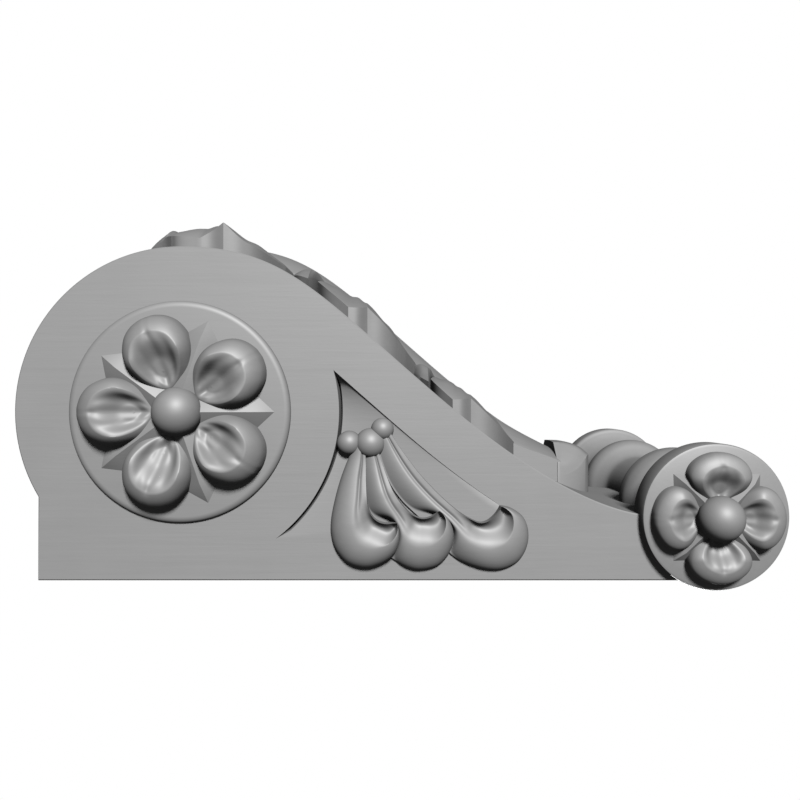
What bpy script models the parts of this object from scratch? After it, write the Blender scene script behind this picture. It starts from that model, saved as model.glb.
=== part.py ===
"""A carved wooden corbel: one solid, modelled lying on its back and then stood up against the wall.

On the bench, X runs down the corbel from its flat top end, Y across it and Z out from the wall. The parent
empty turns the work upright, so that the world has +Z up, the wall behind at +Y and the leaf in front at -Y.
"""
import math

import bmesh
import bpy
from mathutils import Vector

MM = 0.001

# Body, in millimetres
BODY_WIDTH = 158.0
VOLUTE_RADIUS = 66.3
VOLUTE_OUT = 67.5
END_SETBACK = 9.4
BEND_SLOPE = math.radians(40.7)

# Lower scroll: a turned form with a disc at each end
SCROLL_X = 269.6
SCROLL_OUT = 26.0
DISC_RADIUS = 29.1
DISC_THICKNESS = 13.6
DISC_PROUD = 4.8
DISC_CHAMFER = 1.2
BEAD_RADIUS = 24.6
BEAD_PLACE = 35.0
WAIST_RADIUS = 15.5
COVE_RADIUS = 18.0

# Rosettes: the large one on each side of the body, the small one on each end of the scroll
BOSS_RADIUS = 44.3
BOSS_PROUD = 2.6
LARGE_PETAL_REACH = 40.0
LARGE_PETAL_WIDTH = 28.0
LARGE_PETAL_RISE = 8.0
LARGE_BALL_RADIUS = 10.0
LARGE_BALL_OUT = 1.2
SMALL_PETAL_REACH = 25.9
SMALL_PETAL_WIDTH = 24.6
SMALL_PETAL_RISE = 8.6
SMALL_BALL_RADIUS = 9.0
SMALL_BALL_OUT = 4.4
SEPAL_RISE = 3.2

# Sunk panel and husk drops on each side
PANEL_MARGIN = 2.8
PANEL_BAND = 19.8
PANEL_DEPTH = 4.0
HUSK_BOWL_RADIUS = 13.6
HUSK_RISE = 6.2
HUSK_BEAD_RADIUS = 5.6

# Leaf on the front
LEAF_RISE = 14.0
STEM_HALF_WIDTH = 22.0
CURL_RISE = 24.0
CURL_LENGTH = 19.0
CURL_HALF_WIDTH = 22.5

# How far a carved form runs into the wood that carries it
ROOT = 2.0

VOLUTE_X = VOLUTE_RADIUS - END_SETBACK
HALF_WIDTH = BODY_WIDTH / 2
RUN = SCROLL_X - VOLUTE_X
MOUNT_X = SCROLL_X / 2

for old in list(bpy.data.objects):
    bpy.data.objects.remove(old, do_unlink=True)

corbel_collection = bpy.data.collections.new("carved_corbel")
shapes_collection = bpy.data.collections.new("carving_shapes")
panels_collection = bpy.data.collections.new("panel_cutters")
for collection in (corbel_collection, shapes_collection, panels_collection):
    bpy.context.scene.collection.children.link(collection)

upright = bpy.data.objects.new("upright", None)
corbel_collection.objects.link(upright)
upright.rotation_euler = (math.radians(90), math.radians(90), 0)
upright.location = (0, 0, MOUNT_X * MM)


def add_object(name, mesh, collection):
    """Link a mesh on the bench; a shape that is joined or cut away is only a guide."""
    shape = bpy.data.objects.new(name, mesh)
    collection.objects.link(shape)
    shape.parent = upright
    if collection is not corbel_collection:
        shape.hide_render = True
        shape.display_type = "WIRE"
    return shape


def mesh_from(name, work):
    """Turn a bmesh in millimetres into a mesh in metres with its faces out."""
    bmesh.ops.recalc_face_normals(work, faces=work.faces)
    bmesh.ops.scale(work, vec=(MM, MM, MM), verts=work.verts)
    mesh = bpy.data.meshes.new(name)
    work.to_mesh(mesh)
    work.free()
    return mesh


def mirror_across(shape):
    """Repeat a form on the other side of the corbel's middle plane."""
    mirror = shape.modifiers.new("other_side", "MIRROR")
    mirror.use_axis = (False, True, False)
    mirror.use_mirror_merge = False


def bezier(start, start_pull, end_pull, end, count):
    """Points on a cubic curve, without its first one."""
    points = []
    for step in range(1, count + 1):
        t = step / count
        points.append(start * (1 - t) ** 3 + start_pull * 3 * t * (1 - t) ** 2
                      + end_pull * 3 * t * t * (1 - t) + end * t ** 3)
    return points


def volute_arc(first_angle, last_angle, count):
    """Points round the volute, with angles taken from its front towards the scroll."""
    centre = Vector((VOLUTE_X, VOLUTE_OUT))
    points = []
    for step in range(count + 1):
        angle = first_angle + (last_angle - first_angle) * step / count
        points.append(centre + VOLUTE_RADIUS * Vector((math.sin(angle), math.cos(angle))))
    return points


def front_line():
    """The long S from the top of the volute down to the scroll, as (along, out) points."""
    crest = Vector((VOLUTE_X, VOLUTE_OUT + VOLUTE_RADIUS))
    foot = Vector((SCROLL_X - WAIST_RADIUS + 2, SCROLL_OUT + 0.7))
    bend = Vector((VOLUTE_X + 0.485 * RUN, foot.y + 0.44 * (crest.y - foot.y)))
    slope = Vector((math.cos(BEND_SLOPE), -math.sin(BEND_SLOPE)))
    level = Vector((1, 0))
    points = bezier(crest, crest + level * 0.194 * RUN, bend - slope * 0.306 * RUN, bend, 10)
    points += bezier(bend, bend + slope * 0.42 * RUN, foot - level * 0.01 * RUN, foot, 10)
    return points


FRONT = volute_arc(math.radians(-50), 0, 12) + front_line()


def front_height(along):
    """How far the plain front of the body stands out from the wall at a place down its length."""
    for before, after in zip(FRONT, FRONT[1:]):
        if along <= after.x:
            break
    share = (along - before.x) / (after.x - before.x)
    return before.y + (after.y - before.y) * share


def along_at(share):
    """A place down the corbel, as a share of the way from the volute's centre to the scroll's axis."""
    return VOLUTE_X + share * RUN


def outline_prism(name, points, near, far, collection):
    """A flat outline in the (along, out) plane, extruded across the corbel."""
    curve = bpy.data.curves.new(name, "CURVE")
    curve.dimensions = "2D"
    curve.fill_mode = "BOTH"
    curve.extrude = (far - near) / 2 * MM
    spline = curve.splines.new("POLY")
    spline.points.add(len(points) - 1)
    for spot, point in zip(spline.points, points):
        spot.co = (point.x * MM, point.y * MM, 0, 1)
    spline.use_cyclic_u = True
    flat = bpy.data.objects.new(name + "_outline", curve)
    collection.objects.link(flat)
    flat.rotation_euler = (math.radians(90), 0, 0)
    flat.location = (0, (near + far) / 2 * MM, 0)
    bpy.context.view_layer.update()
    mesh = bpy.data.meshes.new_from_object(flat.evaluated_get(bpy.context.evaluated_depsgraph_get()))
    mesh.transform(flat.matrix_world)
    work = bmesh.new()
    work.from_mesh(mesh)
    bmesh.ops.remove_doubles(work, verts=work.verts, dist=0.00001)
    bmesh.ops.recalc_face_normals(work, faces=work.faces)
    work.to_mesh(mesh)
    work.free()
    bpy.data.objects.remove(flat, do_unlink=True)
    return add_object(name, mesh, collection)


def grid_solid(work, top, under):
    """Close two grids of points, one over the other, into one solid."""
    rows, columns = len(top), len(top[0])
    high = [[work.verts.new(point) for point in row] for row in top]
    low = [[work.verts.new(point) for point in row] for row in under]
    for i in range(rows - 1):
        for j in range(columns - 1):
            work.faces.new((high[i][j], high[i + 1][j], high[i + 1][j + 1], high[i][j + 1]))
            work.faces.new((low[i][j], low[i][j + 1], low[i + 1][j + 1], low[i + 1][j]))
    border = [(i, 0) for i in range(rows)] + [(rows - 1, j) for j in range(1, columns)]
    border += [(i, columns - 1) for i in range(rows - 2, -1, -1)] + [(0, j) for j in range(columns - 2, 0, -1)]
    for (i, j), (k, m) in zip(border, border[1:] + border[:1]):
        work.faces.new((high[i][j], low[i][j], low[k][m], high[k][m]))


def ring_solid(work, outline, focus, levels, place):
    """Close rings that shrink from an outline to a focus, each at its own height, into one solid.

    levels lists (share of the outline, height) from the foot of the side to the middle.
    """
    rings = []
    for share, height in levels:
        rings.append([work.verts.new(place(focus + (point - focus) * share, height)) for point in outline])
    middle = work.verts.new(place(focus, levels[-1][1]))
    work.faces.new(rings[0])
    count = len(outline)
    for lower, upper in zip(rings, rings[1:]):
        for k in range(count):
            work.faces.new((lower[k], lower[(k + 1) % count], upper[(k + 1) % count], upper[k]))
    for k in range(count):
        work.faces.new((rings[-1][k], rings[-1][(k + 1) % count], middle))


def body():
    """The sawn block: flat back, flat top end, volute and long S front, with a flat foot under the scroll."""
    chord = math.asin(VOLUTE_X / VOLUTE_RADIUS)
    outline = [Vector((0, 0))]
    outline += volute_arc(chord - math.pi, 0, 34)
    outline += front_line()
    outline += [Vector((SCROLL_X, outline[-1].y)), Vector((SCROLL_X, 0))]
    return outline_prism("corbel", outline, -HALF_WIDTH, HALF_WIDTH, corbel_collection)


def panel_cutter():
    """The sunk panel between the volute and the S band, with a floor that runs out at its foot."""
    centre = Vector((VOLUTE_X, VOLUTE_OUT))
    arc_radius = VOLUTE_RADIUS - PANEL_MARGIN
    line = front_line()
    edge = []
    for before, after in zip(line, line[1:]):
        step = (after - before).normalized()
        edge.append((before + after) / 2 + PANEL_BAND * Vector((step.y, -step.x)))
    band = [point for point in edge if (point - centre).length > arc_radius and point.x < along_at(0.63)]
    last_inside = edge[edge.index(band[0]) - 1]
    inside = (last_inside - centre).length
    outside = (band[0] - centre).length
    band.insert(0, last_inside.lerp(band[0], (arc_radius - inside) / (outside - inside)))
    apex_angle = math.atan2(band[0].x - centre.x, band[0].y - centre.y)
    arc = []
    for step in range(9):
        angle = apex_angle + (math.radians(143) - apex_angle) * step / 8
        arc.append(centre + arc_radius * Vector((math.sin(angle), math.cos(angle))))
    outline = arc + band[:0:-1]
    shape = outline_prism("panel", outline, -HALF_WIDTH - 4, -HALF_WIDTH + PANEL_DEPTH, panels_collection)
    foot_line = (band[-1] - arc[-1]).normalized()
    across = Vector((-foot_line.y, foot_line.x))
    full = abs((arc[0] - arc[-1]).dot(across))
    floor = (-HALF_WIDTH + PANEL_DEPTH) * MM
    for vertex in shape.data.vertices:
        if abs(vertex.co.y - floor) < 0.5 * MM:
            away = abs((Vector((vertex.co.x, vertex.co.z)) / MM - arc[-1]).dot(across))
            depth = PANEL_DEPTH * min(1.0, 0.06 + 1.2 * away / full)
            vertex.co.y = (-HALF_WIDTH + depth) * MM
    mirror_across(shape)


def scroll():
    """The turned scroll: a disc at each end, a bead beside each, and a narrow waist in the middle."""
    end = HALF_WIDTH + DISC_PROUD
    inner = end - DISC_THICKNESS
    bead = BEAD_PLACE
    swell = BEAD_RADIUS - WAIST_RADIUS
    half = [
        (end, 0), (end, DISC_RADIUS - DISC_CHAMFER), (end - DISC_CHAMFER, DISC_RADIUS),
        (inner + DISC_CHAMFER, DISC_RADIUS), (inner, DISC_RADIUS - DISC_CHAMFER),
        (inner - 0.18 * (inner - bead), COVE_RADIUS + 3.6), (inner - 0.4 * (inner - bead), COVE_RADIUS),
        (bead + 8, COVE_RADIUS + 1.5), (bead + 4.5, BEAD_RADIUS - 1.8), (bead, BEAD_RADIUS),
        (bead - 4.5, BEAD_RADIUS - 1.6), (bead - 8, WAIST_RADIUS + 0.55 * swell),
        (bead - 12, WAIST_RADIUS + 0.25 * swell), (bead - 19, WAIST_RADIUS + 0.08 * swell),
    ]
    profile = half + [(0, WAIST_RADIUS)] + [(-across, radius) for across, radius in reversed(half)]
    work = bmesh.new()
    spots = [work.verts.new((radius, 0, across)) for across, radius in profile]
    for before, after in zip(spots, spots[1:]):
        work.edges.new((before, after))
    bmesh.ops.scale(work, vec=(MM, MM, MM), verts=work.verts)
    mesh = bpy.data.meshes.new("scroll")
    work.to_mesh(mesh)
    work.free()
    turned = add_object("scroll", mesh, shapes_collection)
    turned.location = (SCROLL_X * MM, 0, SCROLL_OUT * MM)
    turned.rotation_euler = (math.radians(90), 0, 0)
    screw = turned.modifiers.new("turn", "SCREW")
    screw.steps = 30
    screw.render_steps = 30
    screw.use_merge_vertices = True
    screw.merge_threshold = 0.00001


def side_place(centre, direction, base):
    """Place points of a rosette or husk on the near side, measured from its centre along a direction."""
    ahead = Vector((math.cos(direction), math.sin(direction)))
    aside = Vector((-ahead.y, ahead.x))

    def place(point, height):
        flat = centre + ahead * point.x + aside * point.y
        return (flat.x, -base - height, flat.y)

    return place


def petal_outline(reach, width, count):
    """A plump petal, narrow at the flower's middle and round at its outer end."""
    outline = []
    for step in range(count):
        angle = 2 * math.pi * step / count
        along = 0.5 - 0.5 * math.cos(angle)
        spread = math.sin(angle) * (0.82 + 0.33 * along)
        outline.append(Vector((0.16 * reach + 0.84 * reach * along, spread * width / 2)))
    return outline


def rosette(name, centre, base, petals, reach, width, rise, ball_radius, ball_out, first_angle):
    """Spoon-shaped petals with rolled rims, ridged sepals between them and a ball in the middle."""
    work = bmesh.new()
    levels = ((1.0, -ROOT), (1.0, 0.35 * rise), (0.94, 0.8 * rise), (0.84, rise), (0.55, 0.58 * rise))
    for index in range(petals):
        direction = first_angle + 2 * math.pi * index / petals
        focus = Vector((0.4 * reach, 0))
        ring_solid(work, petal_outline(reach, width, 12), focus, levels, side_place(centre, direction, base))
    petals_mesh = add_object(name + "_petals", mesh_from(name + "_petals", work), shapes_collection)
    mirror_across(petals_mesh)

    work = bmesh.new()
    for index in range(petals):
        direction = first_angle + 2 * math.pi * (index + 0.5) / petals
        place = side_place(centre, direction, base)
        half = 0.2 * reach
        foot = [Vector((0.12 * reach, -half)), Vector((0.74 * reach, -half)), Vector((0.95 * reach, 0)),
                Vector((0.74 * reach, half)), Vector((0.12 * reach, half))]
        low = [work.verts.new(place(point, -ROOT)) for point in foot]
        rim = [work.verts.new(place(point, 0.3)) for point in foot]
        inner_ridge = work.verts.new(place(Vector((0.12 * reach, 0)), SEPAL_RISE))
        outer_ridge = work.verts.new(place(Vector((0.7 * reach, 0)), SEPAL_RISE * 0.8))
        work.faces.new(low)
        for k in range(5):
            work.faces.new((low[k], low[(k + 1) % 5], rim[(k + 1) % 5], rim[k]))
        work.faces.new((rim[0], rim[1], outer_ridge, inner_ridge))
        work.faces.new((rim[1], rim[2], outer_ridge))
        work.faces.new((rim[2], rim[3], outer_ridge))
        work.faces.new((rim[3], rim[4], inner_ridge, outer_ridge))
        work.faces.new((rim[4], rim[0], inner_ridge))
    sepals = add_object(name + "_sepals", mesh_from(name + "_sepals", work), shapes_collection)
    mirror_across(sepals)

    work = bmesh.new()
    bmesh.ops.create_uvsphere(work, u_segments=12, v_segments=8, radius=ball_radius)
    bmesh.ops.rotate(work, cent=(0, 0, 0), matrix=Vector((0, 0, 1)).rotation_difference(Vector((0, 1, 0)))
                     .to_matrix(), verts=work.verts)
    bmesh.ops.translate(work, vec=(centre.x, -base - ball_out, centre.y), verts=work.verts)
    ball = add_object(name + "_ball", mesh_from(name + "_ball", work), shapes_collection)
    mirror_across(ball)


def boss():
    """The raised disc, with a rounded edge, that carries the large rosette."""
    work = bmesh.new()
    outline = []
    for step in range(36):
        angle = 2 * math.pi * step / 36
        outline.append(Vector((BOSS_RADIUS * math.cos(angle), BOSS_RADIUS * math.sin(angle))))
    levels = ((1.0, -ROOT), (1.0, 0.2), (1 - 0.3 * BOSS_PROUD / BOSS_RADIUS, 0.7 * BOSS_PROUD),
              (1 - BOSS_PROUD / BOSS_RADIUS, BOSS_PROUD))
    place = side_place(Vector((VOLUTE_X, VOLUTE_OUT)), 0.0, HALF_WIDTH)
    ring_solid(work, outline, Vector((0, 0)), levels, place)
    mirror_across(add_object("boss", mesh_from("boss", work), shapes_collection))


def lobe_outline(length):
    """A husk lobe in bowl radii: an arm that widens into a round bowl, with a hook where the two meet.

    The first number runs up the arm from the bowl's centre and the second to the hooked side.
    """
    arm_left = Vector((length, -0.22))
    arm_right = Vector((length, 0.22))
    hook = Vector((0.38, 0.9))
    crook = Vector((1.05, 0.2))
    outline = [arm_left]
    outline += bezier(arm_left, Vector((0.6 * length, -0.35)), Vector((0.75, -1.0)), Vector((0.1, -1.0)), 4)
    for step in range(1, 9):
        angle = math.radians(-90 - 180 * step / 8)
        outline.append(Vector((math.cos(angle), math.sin(angle))))
    outline.append(hook)
    outline += bezier(hook, Vector((0.4, 0.5)), Vector((0.5, 0.2)), crook, 4)
    outline.append(arm_right)
    return outline


def husk():
    """Three beads and three hooked lobes that fan out from them down to the foot of the panel."""
    knot = Vector((along_at(0.3575), VOLUTE_OUT - 12.6))
    lobes = ((Vector((along_at(0.349), 18.6)), Vector((-4.6, -6.0)), 0.0),
             (Vector((along_at(0.449), 17.6)), Vector((0.6, -6.2)), 0.06),
             (Vector((along_at(0.593), 17.6)), Vector((7.6, 1.0)), 0.3))
    levels = ((1.0, -PANEL_DEPTH - ROOT), (1.0, 0.08 * HUSK_RISE), (0.94, 0.5 * HUSK_RISE),
              (0.82, 0.85 * HUSK_RISE), (0.66, HUSK_RISE), (0.4, 0.7 * HUSK_RISE))
    work = bmesh.new()
    for bowl, root, bow in lobes:
        arm = knot + root - bowl
        length = arm.length / HUSK_BOWL_RADIUS
        place = side_place(bowl, math.atan2(arm.y, arm.x), HALF_WIDTH)

        def bent(point, height, place=place, length=length, bow=bow):
            sag = bow * math.sin(math.pi * min(max(point.x / length, 0.0), 1.0))
            return place(Vector((point.x, -point.y + sag)) * HUSK_BOWL_RADIUS, height)

        ring_solid(work, lobe_outline(length), Vector((0.05, 0.1)), levels, bent)
    mirror_across(add_object("husk_lobes", mesh_from("husk_lobes", work), shapes_collection))

    work = bmesh.new()
    for offset, share in ((Vector((-8.5, 0.1)), 0.88), (Vector((0, 0)), 1.09), (Vector((4.8, 5.6)), 0.82)):
        ball = bmesh.ops.create_uvsphere(work, u_segments=10, v_segments=6, radius=HUSK_BEAD_RADIUS * share)
        spot = knot + offset
        bmesh.ops.translate(work, vec=(spot.x, -HALF_WIDTH + 0.4 * PANEL_DEPTH, spot.y), verts=ball["verts"])
    mirror_across(add_object("husk_beads", mesh_from("husk_beads", work), shapes_collection))


def leaf_groups():
    """Three groups of pointed lobes down each side of the leaf, lapped over each other like shingles.

    Each row gives, down the length, the group's start, small point, corner, main point and end as shares of
    the run, then how far out it reaches and ends as shares of the half width.
    """
    rows = ((-0.075, -0.042, 0.029, 0.076, 0.174, 0.94, 0.57),
            (0.176, 0.234, 0.312, 0.350, 0.445, 0.87, 0.44),
            (0.430, 0.471, 0.520, 0.556, 0.667, 0.72, 0.26))
    work = bmesh.new()
    for start, point, corner, peak, end, reach, end_reach in rows:
        stations = (
            (start, end_reach, 0.45, 0.1), (point, reach - 0.02, 0.75, 0.27), (point + 0.008, reach - 0.3, 0.8, 0.5),
            (corner, reach - 0.03, 0.95, 0.35), (peak, reach, 1.0, 0.86),
            (0.65 * peak + 0.35 * end, reach - 0.03, 1.0, 0.78),
            (0.35 * peak + 0.65 * end, 0.5 * (reach + end_reach) + 0.06, 0.97, 0.66),
            (end, end_reach, 0.7, 0.58), (end + 0.004, 0.5 * end_reach, 0.7, 0.62),
        )
        first_root = start + 0.01
        last_root = end - 0.03
        top, under = [], []
        for index, (along, out, middle, edge) in enumerate(stations):
            root_along = first_root + (last_root - first_root) * index / (len(stations) - 1)
            top_row, under_row = [], []
            for step in range(5):
                t = step / 4
                x = along_at(root_along + (along - root_along) * t)
                y = -HALF_WIDTH * (0.1 + (out - 0.1) * t)
                root_part = 0.75 * middle * (1 - t) * (1 - 2 * t)
                lift = LEAF_RISE * (root_part + 4 * middle * t * (1 - t) + edge * t * (2 * t - 1))
                surface = front_height(x)
                top_row.append((x, y, surface + max(lift, 0.4)))
                under_row.append((x, y, surface - ROOT - 1))
            top.append(top_row)
            under.append(under_row)
        grid_solid(work, top, under)
    mirror_across(add_object("leaf_groups", mesh_from("leaf_groups", work), shapes_collection))


def leaf_stem():
    """The rounded stem down the middle of the leaf, widest at the volute, ending as a tongue under the curl."""
    work = bmesh.new()
    top, under = [], []
    rows = 20
    for index in range(rows + 1):
        t = index / rows
        x = along_at(-0.085 + 0.855 * t)
        growth = min(1.0, 6 * t + 0.05)
        row, under_row = [], []
        for step in range(7):
            side = step / 3 - 1
            y = side * STEM_HALF_WIDTH
            crown = LEAF_RISE * (0.95 + 0.2 * math.sin(math.pi * t ** 1.5)) * growth
            lift = crown * (1 - 0.6 * side * side)
            surface = front_height(x)
            row.append((x, y, surface + lift))
            under_row.append((x, y, surface - ROOT - 1))
        top.append(row)
        under.append(under_row)
    grid_solid(work, top, under)
    add_object("leaf_stem", mesh_from("leaf_stem", work), shapes_collection)


def leaf_curl():
    """The leaf's tip, rolled up into a block that is round in plan and domed on top."""
    back = along_at(0.762)
    base = front_height(back)
    work = bmesh.new()
    top, under = [], []
    columns = 10
    for index in range(columns + 1):
        side = math.sin(math.radians(-80 + 160 * index / columns))
        y = side * CURL_HALF_WIDTH
        nose = back + CURL_LENGTH * math.sqrt(1 - side * side)
        depth = nose - back
        crest = base + CURL_RISE * (1 - 0.28 * side * side)
        row = [(back, y, crest - 1.5), (back + 0.3 * depth, y, crest), (back + 0.7 * depth, y, crest - 2.2),
               (nose, y, crest - 6.5)]
        top.append(row)
        under.append([(x, place_y, front_height(x) - ROOT - 1) for x, place_y, height in row])
    grid_solid(work, top, under)
    add_object("leaf_curl", mesh_from("leaf_curl", work), shapes_collection)


corbel = body()
panel_cutter()
scroll()
boss()
rosette("large_rosette", Vector((VOLUTE_X, VOLUTE_OUT)), HALF_WIDTH + BOSS_PROUD, 5, LARGE_PETAL_REACH,
        LARGE_PETAL_WIDTH, LARGE_PETAL_RISE, LARGE_BALL_RADIUS, LARGE_BALL_OUT, math.radians(36))
rosette("small_rosette", Vector((SCROLL_X, SCROLL_OUT)), HALF_WIDTH + DISC_PROUD, 4, SMALL_PETAL_REACH,
        SMALL_PETAL_WIDTH, SMALL_PETAL_RISE, SMALL_BALL_RADIUS, SMALL_BALL_OUT, 0.0)
husk()
leaf_groups()
leaf_stem()
leaf_curl()

cut = corbel.modifiers.new("sink_panels", "BOOLEAN")
cut.operation = "DIFFERENCE"
cut.operand_type = "COLLECTION"
cut.collection = panels_collection
cut.solver = "EXACT"

join = corbel.modifiers.new("join_carving", "BOOLEAN")
join.operation = "UNION"
join.operand_type = "COLLECTION"
join.collection = shapes_collection
join.solver = "EXACT"
join.use_self = True

paint = bpy.data.materials.new("grey_primed_wood")
paint.use_nodes = True
finish = paint.node_tree.nodes["Principled BSDF"]
finish.inputs["Base Color"].default_value = (0.36, 0.36, 0.36, 1)
finish.inputs["Roughness"].default_value = 0.55
finish.inputs["Metallic"].default_value = 0.0
corbel.data.materials.append(paint)
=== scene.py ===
"""The looks of a carved wooden corbel: fine carving, primed wood, studio light and camera, round its CAD model.

Shapes are worked out on the bench, in millimetres, with X down the corbel from its flat top end, Y across it
and Z out from the wall, and are then stood up against the wall.
"""
import math

import bmesh
import bpy
import numpy as np
from mathutils import Matrix, Vector
from mathutils.geometry import tessellate_polygon


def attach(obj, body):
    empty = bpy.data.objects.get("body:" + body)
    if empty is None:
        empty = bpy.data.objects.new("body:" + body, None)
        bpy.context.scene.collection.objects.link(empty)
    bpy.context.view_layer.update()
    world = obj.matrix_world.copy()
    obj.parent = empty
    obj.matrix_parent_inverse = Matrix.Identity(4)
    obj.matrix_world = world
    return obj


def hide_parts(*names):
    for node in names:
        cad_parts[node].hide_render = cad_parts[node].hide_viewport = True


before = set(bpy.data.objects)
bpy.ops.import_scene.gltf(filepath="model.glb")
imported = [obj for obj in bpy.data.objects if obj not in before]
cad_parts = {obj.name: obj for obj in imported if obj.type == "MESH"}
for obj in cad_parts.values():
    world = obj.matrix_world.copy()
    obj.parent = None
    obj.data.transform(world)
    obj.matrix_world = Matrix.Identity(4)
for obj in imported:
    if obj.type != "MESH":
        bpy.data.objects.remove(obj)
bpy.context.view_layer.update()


# The body is one sawn block of close-grained wood: a flat back, a large volute and a long S front.
# A shallow panel is sunk in each side, with a fine quirk cut along its walls, and the sawn edges are eased.
# All of it is primed in grey, which lets a little of the grain show.

MM = 0.001
HALF_WIDTH = 79.0
VOLUTE_RADIUS = 66.3
VOLUTE_X = 56.9
VOLUTE_OUT = 67.5
SCROLL_X = 269.6
SCROLL_OUT = 26.0
WAIST_RADIUS = 15.5
MOUNT_X = SCROLL_X / 2
RUN = SCROLL_X - VOLUTE_X

# The long S front: its bend as shares of the run down and of the fall, and how far its curves are pulled.
CREST_PULL = 0.194
BEND_PLACE = (0.485, 0.44)
BEND_SLOPE = math.radians(40.7)
BEND_PULLS = (0.306, 0.42)
FOOT_PULL = 0.01
FOOT_LAP = 2.0
FOOT_PROUD = 0.7
EASED_EDGE = 0.5

# The panel: its margins and depth, where it fades out, and the lean and quirk (width, depth) of its two walls.
PANEL_MARGIN = 2.8
PANEL_BAND = 19.8
PANEL_DEPTH = 4.0
PANEL_FOOT_ANGLE = math.radians(143)
PANEL_FOOT_SHARE = 0.622
PANEL_ROWS = 70
PANEL_NARROW = 4.0
PANEL_FADE_ROWS = 6
PANEL_RAMP = 1.2
ARC_WALL_LEAN = 1.3
ARC_QUIRK = (0.5, 3.0)
BAND_WALL_LEAN = 0.15
BAND_QUIRK = (0.05, 0.3)
BAND_SHALLOWING = 0.85

PRIMER_GREY = 0.38
PRIMER_ROUGHNESS = 0.58
COAT_ROUGHNESS = 0.56
COAT_IOR = 1.9


class Shade:
    """A socket in a material's nodes, with arithmetic that adds Math nodes."""

    def __init__(self, tree, socket=None):
        self.tree = tree
        self.socket = socket

    def node(self, kind, settings, inlets, outlet=0):
        """Add a node of a kind, with its settings and with values or links in its sockets."""
        made = self.tree.nodes.new("ShaderNode" + kind)
        for key, value in settings.items():
            setattr(made, key, value)
        for key, value in inlets.items():
            if isinstance(value, Shade):
                self.tree.links.new(value.socket, made.inputs[key])
            else:
                made.inputs[key].default_value = value
        return Shade(self.tree, made.outputs[outlet])

    def sum(self, operation, first, second):
        return self.node("Math", {"operation": operation}, {0: first, 1: second})

    def __add__(self, other):
        return self.sum("ADD", self, other)

    def __radd__(self, other):
        return self.sum("ADD", other, self)

    def __sub__(self, other):
        return self.sum("SUBTRACT", self, other)

    def __rsub__(self, other):
        return self.sum("SUBTRACT", other, self)

    def __mul__(self, other):
        return self.sum("MULTIPLY", self, other)

    def __rmul__(self, other):
        return self.sum("MULTIPLY", other, self)


def primed_wood(name, along_grain, grain_depth):
    """Close-grained wood under a satin grey primer: faint grain, soft mottling, a fine brushed skin, painted shade
    darkening the hollows, and sharp edges lighter where the primer wears thin.

    along_grain holds the scale of the grain's pattern in world X, Y and Z, smallest along the grain, and
    grain_depth is the depth of the grain's bumps in millimetres.
    """
    material = bpy.data.materials.new(name)
    material.use_nodes = True
    tree = material.node_tree
    shader = tree.nodes["Principled BSDF"]
    shader.inputs["Metallic"].default_value = 0.0
    shader.inputs["Specular IOR Level"].default_value = 1.0
    shader.inputs["Coat Weight"].default_value = 1.0
    shader.inputs["Coat Roughness"].default_value = COAT_ROUGHNESS
    shader.inputs["Coat IOR"].default_value = COAT_IOR
    place = Shade(tree).node("TexCoord", {}, {}, "Object")
    stretched = place.node("Mapping", {}, {"Vector": place, "Scale": along_grain})
    grain = place.node("TexNoise", {}, {"Vector": stretched, "Scale": 1.0, "Detail": 4.0, "Roughness": 0.62,
                                        "Distortion": 0.35})
    rings = place.node("TexNoise", {}, {"Vector": stretched, "Scale": 0.23, "Detail": 2.0, "Roughness": 0.5})
    mottle = place.node("TexNoise", {}, {"Vector": place, "Scale": 34.0, "Detail": 3.0, "Roughness": 0.55})
    skin = place.node("TexNoise", {}, {"Vector": place, "Scale": 900.0, "Detail": 2.0, "Roughness": 0.5})
    # Pointiness darkens concave hollows as painted shade and lightens sharp convex edges, where the primer wears
    # thin.
    hollow = place.node("NewGeometry", {}, {}, "Pointiness")
    edge = place.node("MapRange", {"clamp": True}, {"Value": hollow, "From Min": 0.46, "From Max": 0.56,
                                                    "To Min": -0.05, "To Max": 0.05})
    tone = 1.0 + 0.09 * (grain - 0.5) + 0.08 * (rings - 0.5) + 0.10 * (mottle - 0.5) + edge
    grey = place.node("Mix", {"data_type": "RGBA", "blend_type": "MULTIPLY"},
                      {"Factor": 1.0, 6: (PRIMER_GREY, PRIMER_GREY, PRIMER_GREY, 1), 7: tone}, 2)
    rough = PRIMER_ROUGHNESS + 0.12 * (mottle - 0.5) + 0.08 * (grain - 0.5)
    relief = 0.8 * grain + 0.2 * skin
    bump = place.node("Bump", {}, {"Strength": 1.0, "Distance": grain_depth * MM, "Height": relief})
    tree.links.new(grey.socket, shader.inputs["Base Color"])
    tree.links.new(rough.socket, shader.inputs["Roughness"])
    tree.links.new(bump.socket, shader.inputs["Normal"])
    return material


def carved(name, parts, finish, crease):
    """Join closed shells of bench points and faces into one object, stood up, with edges past crease kept crisp."""
    work = bmesh.new()
    for points, faces in parts:
        spots = [work.verts.new((y * MM, -z * MM, (MOUNT_X - x) * MM)) for x, y, z in points]
        for face in faces:
            corners = list(dict.fromkeys(face))
            if len(corners) > 2:
                work.faces.new([spots[k] for k in corners])
    bmesh.ops.remove_doubles(work, verts=work.verts, dist=0.002 * MM)
    bmesh.ops.dissolve_degenerate(work, edges=work.edges, dist=0.001 * MM)
    bmesh.ops.recalc_face_normals(work, faces=work.faces)
    mesh = bpy.data.meshes.new(name)
    work.to_mesh(mesh)
    work.free()
    mesh.shade_smooth()
    mesh.set_sharp_from_angle(angle=math.radians(crease))
    mesh.materials.append(finish)
    piece = bpy.data.objects.new(name, mesh)
    bpy.context.scene.collection.objects.link(piece)
    return piece


def mirrored(parts):
    """The same shells on the other side of the middle plane."""
    return [([(x, -y, z) for x, y, z in points], [face[::-1] for face in faces]) for points, faces in parts]


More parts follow.
